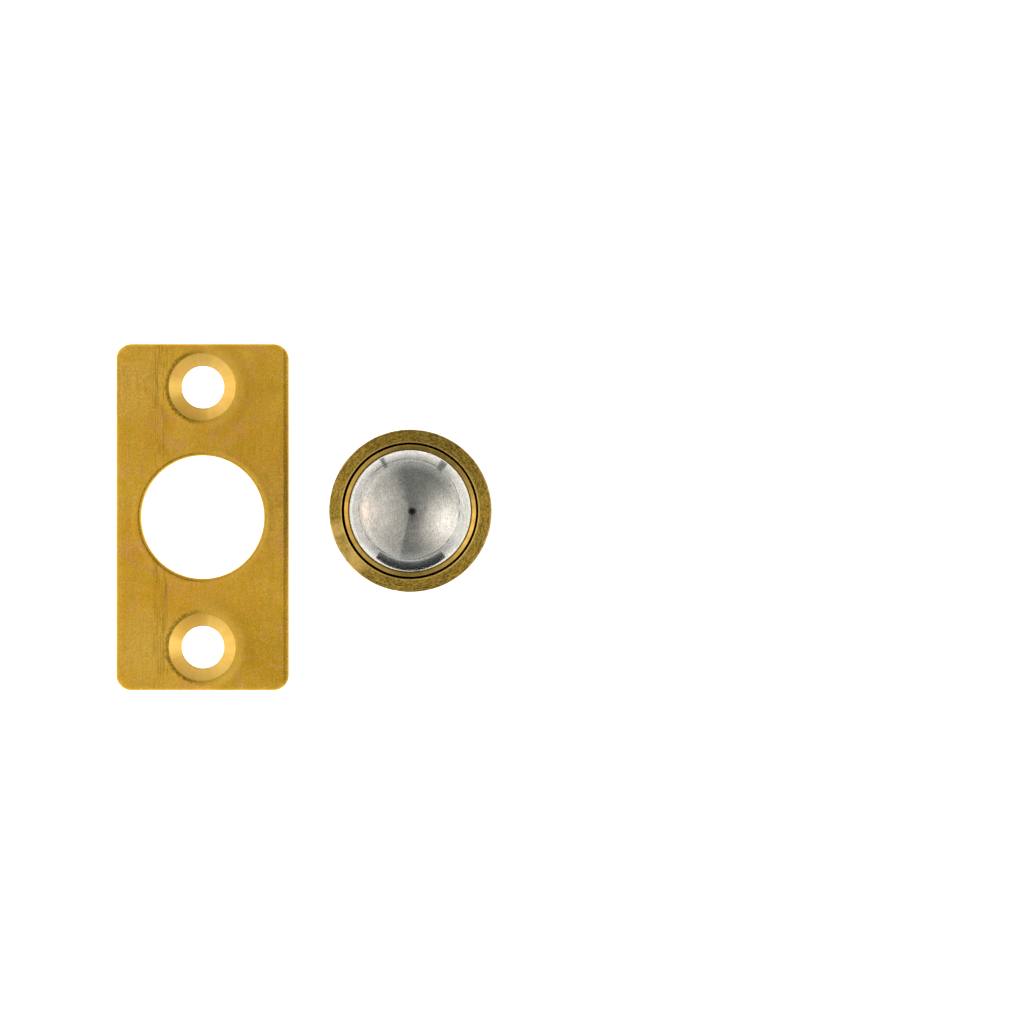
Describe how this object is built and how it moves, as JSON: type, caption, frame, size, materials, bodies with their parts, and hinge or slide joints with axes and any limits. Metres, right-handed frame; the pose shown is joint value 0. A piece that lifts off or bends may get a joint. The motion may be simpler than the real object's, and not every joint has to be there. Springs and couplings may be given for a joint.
{
  "type": "ball catch",
  "caption": "Flanged barrel with a sprung steel ball that holds a door shut by snapping into the hole of its strike plate.",
  "frame": {"origin": "centre of the barrel's flat rear face, on the plane that the barrel and the strike plate stand on", "axes": "+Z along the barrel's axis towards the ball, +Y along the strike plate's length, the strike plate on the -X side"},
  "size_m": [0.0358, 0.033, 0.0214],
  "materials": {
    "aged_brass": "dull turned brass with fine concentric tool marks, tarnished olive brown",
    "drawn_brass": "smooth drawn brass, bright at the rolled lip",
    "polished_steel": "polished ball with fine scratches and specks",
    "spring_steel": "drawn spring wire",
    "rolled_brass": "satin rolled brass with lengthwise rolling lines and faint tarnish"
  },
  "bodies": {
    "root": {"outer_barrel": "aged_brass", "ball_capsule": "drawn_brass", "strike_plate": "rolled_brass"},
    "spring_front": {"spring": "spring_steel"},
    "ball": {"steel_ball": "polished_steel"}
  },
  "joints": [
    {"name": "ball_press", "type": "slide", "parent": "root", "child": "spring_front", "axis": [0, 0, -1], "range_m": [0, 0.0033], "stiffness_N_per_m": 1480, "springref_m": -0.002, "deforming": ["spring"]},
    {"name": "ball_roll", "type": "hinge", "parent": "spring_front", "child": "ball", "pos_m": [0, 0, 0.01507], "axis": [0, 1, 0], "continuous": true}
  ]
}
